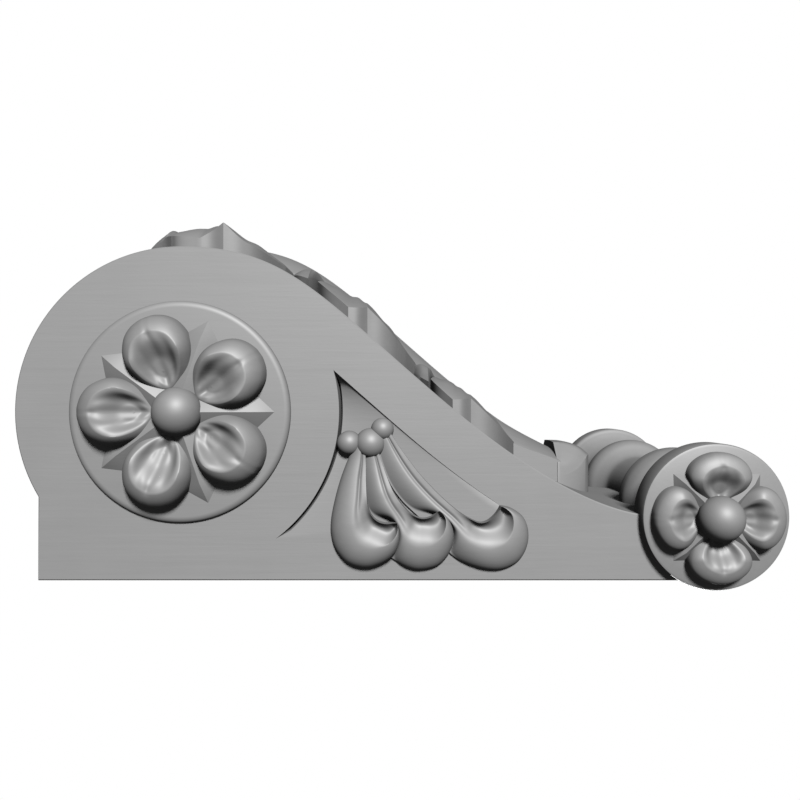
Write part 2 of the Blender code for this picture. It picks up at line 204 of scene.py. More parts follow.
def bezier(start, start_pull, end_pull, end, count):
    """Points on a cubic curve, without its first one."""
    t = (np.arange(1, count + 1) / count)[:, None]
    start, start_pull, end_pull, end = (np.array(point, float) for point in (start, start_pull, end_pull, end))
    return start * (1 - t) ** 3 + start_pull * 3 * t * (1 - t) ** 2 + end_pull * 3 * t * t * (1 - t) + end * t ** 3


def volute_arc(first_angle, last_angle, radius, count):
    """Points round the volute, with angles taken from its front towards the scroll."""
    angle = np.linspace(first_angle, last_angle, count + 1)
    return np.stack([VOLUTE_X + radius * np.sin(angle), VOLUTE_OUT + radius * np.cos(angle)], 1)


def front_line(count):
    """The long S from the top of the volute down to the scroll."""
    crest = np.array((VOLUTE_X, VOLUTE_OUT + VOLUTE_RADIUS))
    foot = np.array((SCROLL_X - WAIST_RADIUS + FOOT_LAP, SCROLL_OUT + FOOT_PROUD))
    bend = np.array((VOLUTE_X + BEND_PLACE[0] * RUN, foot[1] + BEND_PLACE[1] * (crest[1] - foot[1])))
    slope = np.array((math.cos(BEND_SLOPE), -math.sin(BEND_SLOPE)))
    level = np.array((1.0, 0.0))
    upper = bezier(crest, crest + level * CREST_PULL * RUN, bend - slope * BEND_PULLS[0] * RUN, bend, count)
    lower = bezier(bend, bend + slope * BEND_PULLS[1] * RUN, foot - level * FOOT_PULL * RUN, foot, count)
    return np.vstack([upper, lower])


def resampled(points, count):
    """The same line with evenly spaced points."""
    reach = np.concatenate([[0], np.cumsum(np.linalg.norm(np.diff(points, axis=0), axis=1))])
    places = np.linspace(0, reach[-1], count)
    return np.stack([np.interp(places, reach, points[:, k]) for k in range(points.shape[1])], 1)


def turned_aside(line):
    """Unit vectors square to a line, to the right of the way it runs."""
    step = np.gradient(line, axis=0)
    step /= np.linalg.norm(step, axis=1)[:, None]
    return np.stack([step[:, 1], -step[:, 0]], 1)


def block_outline():
    """The body's outline, from the wall at the flat end round the front to the foot."""
    chord = math.asin(VOLUTE_X / VOLUTE_RADIUS)
    s_line = front_line(50)
    foot = [[SCROLL_X, s_line[-1, 1]], [SCROLL_X, 0]]
    return np.vstack([[[0, 0]], volute_arc(chord - math.pi, 0, VOLUTE_RADIUS, 150), s_line, foot])


def panel_lines(count):
    """The panel's two walls at the side face, the arc and the band, both from the apex to the foot."""
    arc_radius = VOLUTE_RADIUS - PANEL_MARGIN
    centre = np.array((VOLUTE_X, VOLUTE_OUT))
    line = front_line(120)
    band = line + PANEL_BAND * turned_aside(line)
    away = np.linalg.norm(band - centre, axis=1)
    first = int(np.argmax((away > arc_radius) & (band[:, 0] > VOLUTE_X)))
    share = (arc_radius - away[first - 1]) / (away[first] - away[first - 1])
    apex = band[first - 1] + share * (band[first] - band[first - 1])
    band = np.vstack([[apex], band[first:][band[first:, 0] < VOLUTE_X + PANEL_FOOT_SHARE * RUN]])
    apex_angle = math.atan2(apex[0] - centre[0], apex[1] - centre[1])
    arc = volute_arc(apex_angle, PANEL_FOOT_ANGLE, arc_radius, count)
    return resampled(arc, count), resampled(band, count)


def sunk_panel():
    """The panel's walls and floor as rows of points from the arc to the band, where it is shallowest."""
    arc, band = panel_lines(PANEL_ROWS)
    arc_in = (arc - (VOLUTE_X, VOLUTE_OUT)) / np.linalg.norm(arc - (VOLUTE_X, VOLUTE_OUT), axis=1)[:, None]
    band_in = turned_aside(band)
    foot = band[-1] - arc[-1]
    square = np.array((-foot[1], foot[0])) / np.linalg.norm(foot)
    full = abs((arc[0] - arc[-1]) @ square)
    grid = []
    for k in range(PANEL_ROWS):
        width = np.linalg.norm(band[k] - arc[k])
        ease = min(1.0, width / PANEL_NARROW)
        fade = min(1.0, (PANEL_ROWS - 1 - k) / PANEL_FADE_ROWS)

        def depth(spot):
            return PANEL_DEPTH * ease * min(1.0, PANEL_RAMP * abs((spot - arc[-1]) @ square) / full)

        arc_edge = arc[k] + arc_in[k] * ARC_WALL_LEAN * ease * fade
        band_edge = band[k] + band_in[k] * BAND_WALL_LEAN * ease * fade
        spots = [(arc[k], 0.0), (arc[k] + arc_in[k] * ARC_QUIRK[0] * ease * fade,
                                 depth(arc[k]) + ARC_QUIRK[1] * ease * fade)]
        spots += [(arc_edge + (band_edge - arc_edge) * t, None) for t in np.linspace(0, 1, 22)]
        spots += [(band[k] + band_in[k] * BAND_QUIRK[0] * ease * fade,
                   depth(band[k]) + BAND_QUIRK[1] * ease * fade), (band[k], 0.0)]
        row = []
        for index, (spot, low) in enumerate(spots):
            low = (depth(spot) if low is None else low) * (1 - BAND_SHALLOWING * index / (len(spots) - 1))
            row.append((spot[0], -HALF_WIDTH + low, spot[1]))
        grid.append(row)
    return grid


def body_shell():
    """The whole block as one closed shell, with both panels in it."""
    outline = block_outline()
    aside = turned_aside(np.vstack([outline[-1:], outline, outline[:1]]))[1:-1]
    eased = outline + EASED_EDGE * aside
    eased = np.clip(eased, [VOLUTE_X - VOLUTE_RADIUS + EASED_EDGE, EASED_EDGE], [SCROLL_X - EASED_EDGE, 999])
    grid = sunk_panel()
    work = bmesh.new()
    rings = []
    for ring, across in ((eased, -HALF_WIDTH), (outline, -HALF_WIDTH + EASED_EDGE),
                         (outline, HALF_WIDTH - EASED_EDGE), (eased, HALF_WIDTH)):
        rings.append([work.verts.new((x, across, z)) for x, z in ring])
    count = len(outline)
    for lower, upper in zip(rings, rings[1:]):
        for k in range(count):
            work.faces.new((lower[k], lower[(k + 1) % count], upper[(k + 1) % count], upper[k]))
    for side, ring in ((1, rings[0]), (-1, rings[-1])):
        rows = [[work.verts.new((x, side * y, z)) for x, y, z in row] for row in grid]
        loop = [row[0] for row in rows] + rows[-1][1:] + [row[-1] for row in rows[-2:0:-1]]
        for before, after in zip(rows, rows[1:]):
            for k in range(len(before) - 1):
                work.faces.new((before[k], before[k + 1], after[k + 1], after[k]))
        rim = ring + loop
        for corners in tessellate_polygon([[spot.co for spot in ring], [spot.co for spot in loop]]):
            work.faces.new([rim[k] for k in corners])
    work.verts.index_update()
    points = [tuple(spot.co) for spot in work.verts]
    faces = [[spot.index for spot in face.verts] for face in work.faces]
    work.free()
    return points, faces


GRAIN_DOWN = (520.0, 520.0, 26.0)
body_finish = primed_wood("primed_block", GRAIN_DOWN, 0.07)
corbel_body = carved("corbel_body", [body_shell()], body_finish, 25)
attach(corbel_body, "root")
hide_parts("corbel")


# The lower scroll is turned in one with its end discs: a bead near each end, a narrow waist between them,
# a cove behind each disc, and crisp eased rims.

DISC_RADIUS = 29.1
DISC_END = 83.8
DISC_INNER = 70.2
TURNED_PROFILE = ((0, 15.5), (9, 15.6), (18, 16.0), (22, 17.0), (25.5, 19.8), (28.5, 22.9), (31.5, 24.4), (35, 24.6),
                  (38.5, 24.2), (42, 22.6), (45.5, 20.0), (50, 18.4), (54, 18.3), (59, 19.0), (63, 20.8),
                  (67, 24.0), (DISC_INNER, 27.6))


def smooth_line(knots, count):
    """A curve through its knots, with a set number of steps between each two."""
    knots = np.array(knots, float)
    extended = np.vstack([2 * knots[:1] - knots[1:2], knots, 2 * knots[-1:] - knots[-2:-1]])
    pieces = []
    for a, b, c, d in zip(extended, extended[1:], extended[2:], extended[3:]):
        t = (np.arange(count) / count)[:, None]
        pieces.append(0.5 * (2 * b + (c - a) * t + (2 * a - 5 * b + 4 * c - d) * t * t
                             + (3 * b - a - 3 * c + d) * t ** 3))
    return np.vstack(pieces + [knots[-1:]])


def lathe(profile, place, count):
    """Turn a profile of (radius, height) pairs, from axis to axis, into a closed shell."""
    points, faces = [], []
    angles = [2 * math.pi * k / count for k in range(count)]
    for radius, height in profile[1:-1]:
        points += [place(radius * math.cos(angle), radius * math.sin(angle), height) for angle in angles]
    ends = len(points)
    points += [place(0, 0, profile[0][1]), place(0, 0, profile[-1][1])]
    for k in range(count):
        after = (k + 1) % count
        faces.append((ends, after, k))
        for row in range(len(profile) - 3):
            base = row * count
            faces.append((base + k, base + after, base + count + after, base + count + k))
        last = (len(profile) - 3) * count
        faces.append((ends + 1, last + k, last + after))
    return points, faces


def turned_scroll():
    """The scroll's shell: half of it is drawn from the middle out to a disc, and then mirrored."""
    half = [tuple(spot) for spot in smooth_line(TURNED_PROFILE, 4)]
    rim = [(DISC_INNER + 0.35, 28.3), (DISC_INNER + 0.9, DISC_RADIUS - 0.25), (DISC_INNER + 1.6, DISC_RADIUS),
           (DISC_END - 1.2, DISC_RADIUS), (DISC_END - 0.35, DISC_RADIUS - 0.35), (DISC_END, DISC_RADIUS - 1.2),
           (DISC_END, 12.0), (DISC_END, 0.0)]
    right = half + rim
    whole = [(-across, radius) for across, radius in reversed(right)] + right[1:]
    profile = [(radius, across) for across, radius in whole]
    return lathe(profile, lambda a, b, across: (SCROLL_X + a, across, SCROLL_OUT + b), 120)


GRAIN_ACROSS = (26.0, 520.0, 520.0)
scroll_finish = primed_wood("primed_turning", GRAIN_ACROSS, 0.05)
lower_scroll = carved("lower_scroll", [turned_scroll()], scroll_finish, 34)
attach(lower_scroll, "root")
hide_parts("corbel")


# A large rosette is carved on a low boss on each side of the volute: five spoon-shaped petals with rolled rims
# and fluted hollows, ridged sepals between them, and a ball in the middle.

BOSS_RADIUS = 44.3
BOSS_PROUD = 2.2
BOSS_EDGE = 2.6
BOSS_STEP = 0.3
LARGE_PETALS = ((7.0, 0), (7.6, 2.6), (10.0, 6.3), (13.8, 9.8), (17.7, 12.0), (23.1, 13.7), (28.8, 13.5),
                (34.5, 11.0), (38.0, 7.1), (39.7, 2.6), (39.9, 0))
LARGE_RISE = 10.0
LARGE_CREST = 0.69
LARGE_BALL = 9.9
LARGE_BALL_OUT = 2.6

# Shares of a petal's reach and rise, and of a sepal's reach; the sepal's bevel and rim are in millimetres.
PETAL_FOCUS = 0.42
PETAL_LOW_END = 0.16
PETAL_CREST_LEAN = 0.42
PETAL_FULL_HEIGHT = 0.9075
HOLLOW_RISE = 0.86
FLUTES = 3.7
FLUTE_DEPTH = 0.024
PINCH_DEPTH = 0.05
SEPAL_REACH = 40.0
SEPAL_HALF_WIDTH = 0.2
SEPAL_ROOT = 0.12
SEPAL_SHOULDER = 0.735
SEPAL_BEVEL = 0.7
SEPAL_RIM = 0.6
SEPAL_RISE = 4.6


def soft_step(value):
    """Ease from 0 to 1."""
    value = np.clip(value, 0, 1)
    return value * value * (3 - 2 * value)


def on_side(centre, direction, base):
    """Place points of a rosette on the near side, from its centre along a direction."""
    ahead = (math.cos(direction), math.sin(direction))

    def place(along, across, height):
        return (centre[0] + ahead[0] * along - ahead[1] * across, -base - height,
                centre[1] + ahead[1] * along + ahead[0] * across)

    return place


def petal(knots, rise, crest, wall, place):
    """One petal: rings that close in from its outline, above an upright wall, to a point in its hollow.

    The knots are half of its outline, crest is the share of the outline at which its rim is highest, and wall
    is the share of its height that stands upright.
    """
    upper = smooth_line(knots, 5)
    outline = np.vstack([upper, [(along, -across) for along, across in upper[-2:0:-1]]])
    reach = outline[:, 0].max()
    focus = np.array((PETAL_FOCUS * reach, 0.0))
    shares = np.concatenate([1 - (1 - crest) * np.linspace(0, 1, 14) ** 0.8, np.linspace(crest, 0.03, 26)[1:]])
    points, faces = [], []
    count = len(outline)
    rings = [[(spot, -3.0) for spot in outline]]
    for share in shares:
        ring = []
        for spot in outline:
            here = focus + (spot - focus) * share
            along = here[0] / reach
            rim = rise * (PETAL_LOW_END + (1 - PETAL_LOW_END) * soft_step((along - PETAL_LOW_END) / 0.46))
            if share >= crest:
                lean = PETAL_CREST_LEAN + (1 - PETAL_CREST_LEAN) * (share - crest) / (1 - crest)
                height = wall * rim + (1 - wall) * rim * math.sqrt(1 - lean * lean) / PETAL_FULL_HEIGHT
            else:
                floor = HOLLOW_RISE * rise * min(max(0.04 + (along - 0.24) / 0.60, 0.0), 1.0)
                inward = share / crest
                wide = np.interp(here[0], upper[:, 0], upper[:, 1]) * crest + 0.8
                flute = math.cos(FLUTES * math.pi * here[1] / wide) - 0.2
                flute *= FLUTE_DEPTH * rise * soft_step((1 - inward) / 0.3) * soft_step((along - 0.15) / 0.2)
                height = floor + (rim - floor) * soft_step((inward - 0.3) / 0.7) - flute
            pinch = PINCH_DEPTH * rise * math.exp(-((here[1] / 1.2) ** 2) - ((share / crest - 0.93) / 0.12) ** 2)
            ring.append((here, height - pinch * (along > 0.6)))
        rings.append(ring)
    for ring in rings:
        points += [place(spot[0], spot[1], height) for spot, height in ring]
    for row in range(len(rings) - 1):
        for k in range(count):
            after = (k + 1) % count
            faces.append((row * count + k, row * count + after, (row + 1) * count + after, (row + 1) * count + k))
    points.append(place(focus[0], focus[1], sum(height for spot, height in rings[-1]) / count))
    last = (len(rings) - 1) * count
    faces += [(last + k, last + (k + 1) % count, len(points) - 1) for k in range(count)]
    faces.append(tuple(range(count)))
    return points, faces


def sepal(reach, place):
    """A ridged sepal with an arrow-shaped end and a small bevel round its foot."""
    half = SEPAL_HALF_WIDTH * reach
    inner = half - SEPAL_BEVEL
    foot = [(SEPAL_ROOT, -half), (SEPAL_SHOULDER, -half), (0.95, 0), (SEPAL_SHOULDER, half), (SEPAL_ROOT, half)]
    rim = [(SEPAL_ROOT, -inner), (0.722, -inner), (0.922, 0), (0.722, inner), (SEPAL_ROOT, inner)]
    points = [place(along * reach, across, -2.0) for along, across in foot]
    points += [place(along * reach, across, 0.0) for along, across in foot]
    points += [place(along * reach, across, SEPAL_RIM) for along, across in rim]
    points += [place(SEPAL_ROOT * reach, 0, SEPAL_RISE + SEPAL_RIM), place(0.74 * reach, 0, 0.85 * SEPAL_RISE)]
    faces = [(0, 1, 2, 3, 4)]
    for base in (0, 5):
        faces += [(base + k, base + (k + 1) % 5, base + 5 + (k + 1) % 5, base + 5 + k) for k in range(5)]
    faces += [(10, 11, 16, 15), (11, 12, 16), (12, 13, 16), (13, 14, 15, 16), (14, 10, 15)]
    return points, faces


def ball(radius, place):
    """A carved ball, closed at the back."""
    steps = 28
    profile = [(radius * math.sin(math.pi * k / steps), -radius * math.cos(math.pi * k / steps))
               for k in range(steps + 1)]
    return lathe(profile, place, 56)


def large_rosette():
    """The shells of one large rosette."""
    centre = (VOLUTE_X, VOLUTE_OUT)
    front = HALF_WIDTH + BOSS_PROUD
    turn = np.linspace(0, math.pi / 2, 9)
    edge = [(BOSS_RADIUS - BOSS_EDGE * (1 - math.cos(angle)), BOSS_STEP + (BOSS_PROUD - BOSS_STEP) * math.sin(angle))
            for angle in turn]
    profile = [(0, -2.0), (BOSS_RADIUS, -2.0)] + edge + [(0, BOSS_PROUD)]
    parts = [lathe(profile, on_side(centre, 0.0, HALF_WIDTH), 160)]
    for index in range(5):
        direction = math.radians(36 + 72 * index)
        parts.append(petal(LARGE_PETALS, LARGE_RISE, LARGE_CREST, 0.0, on_side(centre, direction, front)))
        parts.append(sepal(SEPAL_REACH, on_side(centre, direction + math.radians(36), front)))
    parts.append(ball(LARGE_BALL, on_side(centre, 0.0, front + LARGE_BALL_OUT)))
    return parts


rosette_finish = primed_wood("primed_carving", GRAIN_DOWN, 0.04)
near_rosette = carved("large_rosette_near", large_rosette(), rosette_finish, 38)
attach(near_rosette, "root")
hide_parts("corbel")
far_rosette = carved("large_rosette_far", mirrored(large_rosette()), rosette_finish, 38)
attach(far_rosette, "root")
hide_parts("corbel")


# A small rosette is carved on each end disc of the scroll: four plump petals, four ridged sepals on the
# diagonals and a ball that stands higher than they do.

SMALL_PETALS = ((4.6, 0), (5.0, 2.4), (6.8, 5.8), (9.6, 8.9), (13.0, 11.4), (17.0, 12.4), (20.8, 11.0),
                (23.8, 7.6), (25.5, 3.4), (25.9, 0))
SMALL_RISE = 7.6
SMALL_CREST = 0.66
SMALL_WALL = 0.4
SMALL_SEPAL_REACH = 25.5
SMALL_BALL = 9.0
SMALL_BALL_OUT = 4.4


def small_rosette():
    """The shells of one small rosette."""
    centre = (SCROLL_X, SCROLL_OUT)
    parts = []
    for index in range(4):
        direction = math.pi / 2 * index
        parts.append(petal(SMALL_PETALS, SMALL_RISE, SMALL_CREST, SMALL_WALL, on_side(centre, direction, DISC_END)))
        parts.append(sepal(SMALL_SEPAL_REACH, on_side(centre, direction + math.pi / 4, DISC_END)))
    parts.append(ball(SMALL_BALL, on_side(centre, 0.0, DISC_END + SMALL_BALL_OUT)))
    return parts


small_finish = primed_wood("primed_end_carving", GRAIN_ACROSS, 0.04)
near_small = carved("small_rosette_near", small_rosette(), small_finish, 38)
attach(near_small, "root")
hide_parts("corbel")
far_small = carved("small_rosette_far", mirrored(small_rosette()), small_finish, 38)
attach(far_small, "root")
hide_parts("corbel")


# Husk drops fill the foot of each panel: three beads, and three hooked lobes that hang from them and lap over
# each other, each with a thick rounded rim, a groove down its arm and a hollow bowl.

HUSK_KNOT = (VOLUTE_X + 0.3575 * RUN, VOLUTE_OUT - 12.6)
HUSK_BEADS = ((-8.5, 0.1, 4.95), (0.0, 0.0, 6.1), (4.8, 5.6, 4.6))
BEAD_SUNK = 1.2
HUSK_ROOT = 2.5
HUSK_ROWS = 130
CREST_SHARE = 0.62
BOWL_CREST_SHIFT = 0.13
ARM_GROOVE = 0.6
ARM_FALL = 0.35
BOWL_DEPTH = 3.2
BOWL_FALL = 0.6
HUSK_LOBES = (
    ((126.0, 53.8, 130.8, 53.8, 2.2, 0, 1), (124.6, 50.2, 131.2, 47.4, 2.6, 0, 1),
     (121.2, 41.4, 131.3, 41.0, 3.8, 0, 1), (118.6, 32.2, 131.6, 34.6, 5.2, 0, 1),
     (117.1, 24.2, 132.0, 31.0, 6.2, 0.2, 1), (117.2, 17.8, 132.8, 28.2, 6.8, 0.5, 1),
     (119.2, 11.8, 134.0, 26.2, 7, 0.8, 1), (124.0, 6.6, 135.2, 25.0, 7.2, 1, 1),
     (131.2, 4.8, 136.8, 24.1, 7.2, 1, 1), (138.0, 6.8, 138.8, 23.6, 7.2, 1, 1),
     (142.4, 10.2, 140.4, 23.6, 7.2, 1, 1), (144.6, 14.6, 141.8, 23.8, 7, 1, 1),
     (145.0, 19.0, 142.8, 23.9, 6.8, 1, 1), (144.2, 22.2, 143.3, 24.0, 6.6, 1, 1),
     (143.6, 23.8, 143.5, 24.0, 6.4, 1, 1)),
    ((129.2, 53.8, 135.6, 53.8, 1.8, 0, 0), (130.2, 47.4, 137.6, 47.4, 2.2, 0, 0),
     (130.4, 41.0, 139.6, 41.8, 3.4, 0, 0), (130.8, 34.6, 141.6, 37.0, 4.8, 0, 0),
     (131.6, 29.8, 143.2, 34.2, 5.2, 0, 0), (133.2, 25.8, 144.8, 31.8, 5.4, 0, -0.15),
     (136.0, 21.0, 146.8, 29.4, 5.4, 0.05, -0.6), (138.8, 15.4, 148.4, 27.8, 5.6, 0.2, -0.72),
     (140.8, 10.6, 149.8, 26.8, 6, 0.5, -0.45), (144.0, 7.0, 151.2, 26.1, 6.2, 0.85, 0.8),
     (148.0, 4.8, 152.6, 25.6, 6.4, 1, 1), (152.8, 4.0, 154.0, 25.4, 6.4, 1, 1),
     (159.5, 5.6, 155.6, 25.6, 6.4, 1, 1), (164.1, 10.2, 157.2, 26.2, 6.4, 1, 1),
     (166.4, 16.2, 158.6, 27.2, 6.2, 1, 1), (166.0, 21.8, 159.6, 28.1, 6, 1, 1),
     (163.8, 25.8, 160.1, 28.4, 5.8, 1, 1), (160.8, 28.3, 160.4, 28.5, 5.6, 1, 1)),
    ((135.2, 56.2, 140.8, 59.4, 1.4, 0, 0), (136.8, 49.8, 144.4, 53.8, 1.8, 0, 0),
     (139.2, 42.6, 148.4, 48.2, 2.6, 0, 0), (142.0, 37.0, 152.8, 42.6, 3.2, 0, 0),
     (145.6, 32.2, 157.2, 37.8, 3.6, 0, 0), (149.6, 28.2, 161.2, 33.8, 4, 0, -0.1),
     (153.6, 24.6, 164.8, 30.6, 4.4, 0, -0.55), (158.4, 20.2, 168.0, 28.0, 4.8, 0.05, -0.75),
     (162.8, 14.2, 170.4, 26.4, 5.2, 0.2, -0.6), (166.4, 9.4, 172.4, 25.3, 5.6, 0.5, 0.4),
     (171.6, 6.4, 174.0, 24.5, 5.8, 0.85, 0.8), (179.2, 4.2, 175.8, 23.8, 5.8, 1, 1),
     (186.0, 4.4, 177.6, 23.7, 5.8, 1, 1), (192.1, 7.6, 179.6, 24.4, 5.8, 1, 1),
     (195.6, 13.4, 181.2, 25.6, 5.6, 1, 1), (196.2, 19.8, 182.6, 27.0, 5.4, 1, 1),
     (194.2, 25.4, 183.6, 28.4, 5.2, 1, 1), (189.6, 29.0, 184.2, 29.4, 5, 1, 1),
     (185.6, 30.2, 184.6, 30.2, 4.8, 1, 1)),
)


def husk_lobe(stations):
    """One lobe, as rows across it from its outer edge to its inner one.

    A station holds the outer spot, the inner spot, the crest's height, how far the arm has turned into the bowl,
    and how far the outer edge is free of the lobe that laps over it, or less the share that this lobe hides.
    """
    line = resampled(smooth_line(stations, 8), HUSK_ROWS)
    columns = np.concatenate([np.linspace(0, 0.3, 13) ** 1.3 / 0.3 ** 0.3, np.linspace(0.3, 1, 34)[1:]])
    grid = []
    for index, (outer_x, outer_z, inner_x, inner_z, rise, bowl, free) in enumerate(line):
        skew = 2.3 - 1.3 * soft_step((index / len(line) - 0.66) / 0.2)
        width = math.hypot(inner_x - outer_x, inner_z - outer_z)
        crest_at = CREST_SHARE - BOWL_CREST_SHIFT * bowl
        fine = min(1.0, width / 9)
        row = []
        for v in columns:
            if v < crest_at:
                x = v / crest_at
                round_side = -1.0 + (rise + 1.0) * math.sqrt(1 - (1 - x) ** 2)
                hidden = 0.08 + max(0.0, -free)
                valley = rise * (0.22 + 0.78 * math.sin(0.5 * math.pi * max(0.0, x - hidden) / (1 - hidden)))
                height = valley + (round_side - valley) * max(0.0, free)
            else:
                x = (v - crest_at) / (1 - crest_at)
                arm = ARM_GROOVE * math.exp(-((x - 0.36) / 0.14) ** 2) + ARM_FALL * soft_step(x / 0.5)
                hollow = BOWL_DEPTH * math.sin(math.pi * min(x / 1.03, 1.0) ** skew) + BOWL_FALL * x
                height = rise - fine * (arm * (1 - bowl) + hollow * bowl)
            row.append((outer_x + (inner_x - outer_x) * v, -HALF_WIDTH - height, outer_z + (inner_z - outer_z) * v))
        grid.append(row)
    return grid


def relief(grid, root):
    """Close a grid of points over a copy of itself that lies flat in the wood."""
    rows, columns = len(grid), len(grid[0])
    points = [point for row in grid for point in row] + [(x, root, z) for row in grid for x, y, z in row]
    under = rows * columns
    faces = []
    for i in range(rows - 1):
        for j in range(columns - 1):
            k = i * columns + j
            faces.append((k, k + 1, k + columns + 1, k + columns))
            faces.append((under + k, under + k + columns, under + k + columns + 1, under + k + 1))
    border = [i * columns for i in range(rows)] + [(rows - 1) * columns + j for j in range(1, columns)]
    border += [i * columns + columns - 1 for i in range(rows - 2, -1, -1)] + list(range(columns - 2, 0, -1))
    for k, after in zip(border, border[1:] + border[:1]):
        faces.append((k, after, under + after, under + k))
    return points, faces


def husk():
    """The shells of one side's husk drops."""
    parts = [relief(husk_lobe(stations), -HALF_WIDTH + PANEL_DEPTH + HUSK_ROOT) for stations in HUSK_LOBES]
    for x, out, radius in HUSK_BEADS:
        centre = (HUSK_KNOT[0] + x, HUSK_KNOT[1] + out)
        parts.append(ball(radius, on_side(centre, 0.0, HALF_WIDTH - BEAD_SUNK)))
    return parts


near_husk = carved("husk_drops_near", husk(), rosette_finish, 42)
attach(near_husk, "root")
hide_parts("corbel")
far_husk = carved("husk_drops_far", mirrored(husk()), rosette_finish, 42)
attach(far_husk, "root")
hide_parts("corbel")


# The leaf runs down the front: three groups of pointed lobes on each side of a ribbed stem, lapped like
# shingles and cut straight down to the body, then a plain tongue whose tip rolls up into a curl.

LEAF_RISE = 14.0
LEAF_LEAST = 0.4
LEAF_ROOT = 0.1
LEAF_ROOT_RISE = 0.75
LEAF_UNDER = 3.0
RIDGE_RISE = 1.1
RIB_RISE = 0.3
STEM_START = -0.14
STEM_RUN = 0.91
STEM_CROWN = 0.93
STEM_SWELL = 0.2
STEM_HALF_WIDTH = 22.0
MIDRIB_GROOVE = 1.3
CURL_BACK = 0.762
CURL_HALF_WIDTH = 22.5
CURL_DEPTH = 19.0
CURL_RISE = 18.6
CURL_PROFILE = ((0, 0), (0.3, -0.2), (0.6, -1.6), (0.8, -3.4), (1, -6.5))

# A row for each group, with its values in the order in which leaf_group takes them.
LEAF_GROUPS = (
    (-0.118, -0.042, 0.029, 0.076, 0.174, 0.94, 0.57, 0.18, 0.6, 1.6, 0.1),
    (0.176, 0.234, 0.312, 0.350, 0.445, 0.87, 0.44, 0.18, 1.0, 1.0, 0.3),
    (0.430, 0.471, 0.520, 0.556, 0.667, 0.72, 0.26, 0.0, 0.93, 1.0, 0.3),
)
FRONT = np.vstack([volute_arc(math.radians(-55), 0, VOLUTE_RADIUS, 60), front_line(60)])


def front_height(along):
    """How far the plain front stands out from the wall at a place down its length."""
    return float(np.interp(along, FRONT[:, 0], FRONT[:, 1]))


def leaf_group(start, point, corner, peak, end, reach, end_reach, sink, fall, skew, notch):
    """One group of lobes on the near side, as a closed shell.

    The places from start to end are shares of the run down the front, and the reaches are shares of the body's
    half width. sink lowers the group's first part and fall its last, skew moves its crown towards its edge, and
    notch is how far it is cut in behind its point. A station holds its place, its reach, the heights of its
    crown and its edge, and how far it stands up as a ridge.
    """
    first = (start, end_reach, 0.45 - sink, 0.1, 0)
    tip = (point, reach - 0.02, 0.75 - 0.2 * sink, 0.27, 1)
    cut = (point + 0.008, reach - notch, 0.8, 0.5, -1)
    shoulder = (corner, reach - 0.03, 0.95 - 0.5 * sink, 0.35, 0.6)
    top = (peak, reach, fall, 0.83, 1)
    last = (end, end_reach, 0.7 * fall, 0.58 * fall, 0)
    knots = (
        (first, (0.5 * start + 0.5 * point, 0.5 * (end_reach + reach) + 0.06, 0.6 - 0.7 * sink, 0.2, 0.6), tip),
        (tip, (point + 0.004, reach - 0.5 * notch, 0.78, 0.42, 0.4), cut),
        (cut, (0.6 * point + 0.4 * corner, reach - 0.5 * notch, 0.88 - 0.2 * sink, 0.42, -0.3), shoulder),
        (shoulder, (0.5 * corner + 0.5 * peak, reach - 0.03, 0.6 + 0.4 * fall, 0.58, 0.5), top),
        (top, (0.65 * peak + 0.35 * end, reach - 0.04, fall, 0.78 * fall, 0.2),
         (0.35 * peak + 0.65 * end, 0.5 * (reach + end_reach) + 0.06, 0.97 * fall, 0.66 * fall, -0.2), last),
        (last, (end + 0.004, 0.5 * end_reach, 0.7 * fall, 0.62 * fall, 0)),
    )
    stations = np.vstack([smooth_line(run, 6)[:-1] for run in knots] + [[knots[-1][-1]]])
    swelling = (1 + skew) ** (1 + skew) / skew ** skew
    first_root = start + 0.01
    last_root = end - 0.03
    grid = []
    for index, (along, out, middle, edge, ridge) in enumerate(stations):
        root_along = first_root + (last_root - first_root) * index / (len(stations) - 1)
        row = []
        for t in np.linspace(0, 1, 25):
            x = VOLUTE_X + (root_along + (along - root_along) * t) * RUN
            y = -HALF_WIDTH * (LEAF_ROOT + (out - LEAF_ROOT) * t)
            root_part = LEAF_ROOT_RISE * middle * (1 - t) * (1 - 2 * t) * soft_step(3 * index / len(stations))
            lift = LEAF_RISE * (root_part + middle * swelling * t ** skew * (1 - t) + edge * t * (2 * t - 1))
            lift += RIDGE_RISE * ridge * math.sin(math.pi * t ** 1.3)
            lift += RIB_RISE * math.sin(math.pi * t) * math.cos(0.75 * index)
            row.append((x, y, front_height(x) + max(lift, LEAF_LEAST)))
        grid.append(row)
    return standing(grid)


def standing(grid):
    """Close a grid of points over a copy of itself just under the plain front."""
    points, faces = relief(grid, 0.0)
    half = len(points) // 2
    under = [(x, y, front_height(x) - LEAF_UNDER) for x, y, z in points[:half]]
    return points[:half] + under, faces


def leaf_stem():
    """The crowned stem with its midrib, running out as a tongue."""
    grid = []
    for t in np.linspace(0, 1, 80):
        x = VOLUTE_X + (STEM_START + STEM_RUN * t) * RUN
        growth = 0.05 + 0.95 * soft_step(t / 0.22)
        crown = LEAF_RISE * (STEM_CROWN + STEM_SWELL * math.sin(math.pi * t ** 1.5)) * growth
        half_width = STEM_HALF_WIDTH * soft_step(0.08 + 3.6 * t) ** 0.7
        tongue_lift = soft_step((t - 0.84) / 0.16)
        groove = MIDRIB_GROOVE * growth * (1 - soft_step((t - 0.8) / 0.15))
        row = []
        for side in np.linspace(-1, 1, 41):
            lift = crown * (1 - 0.6 * side * side) + tongue_lift * (2.0 + 3.2 * side * side)
            lift -= groove * math.exp(-((abs(side) - 0.2) / 0.07) ** 2)
            row.append((x, side * half_width, front_height(x) + lift))
        grid.append(row)
    return standing(grid)


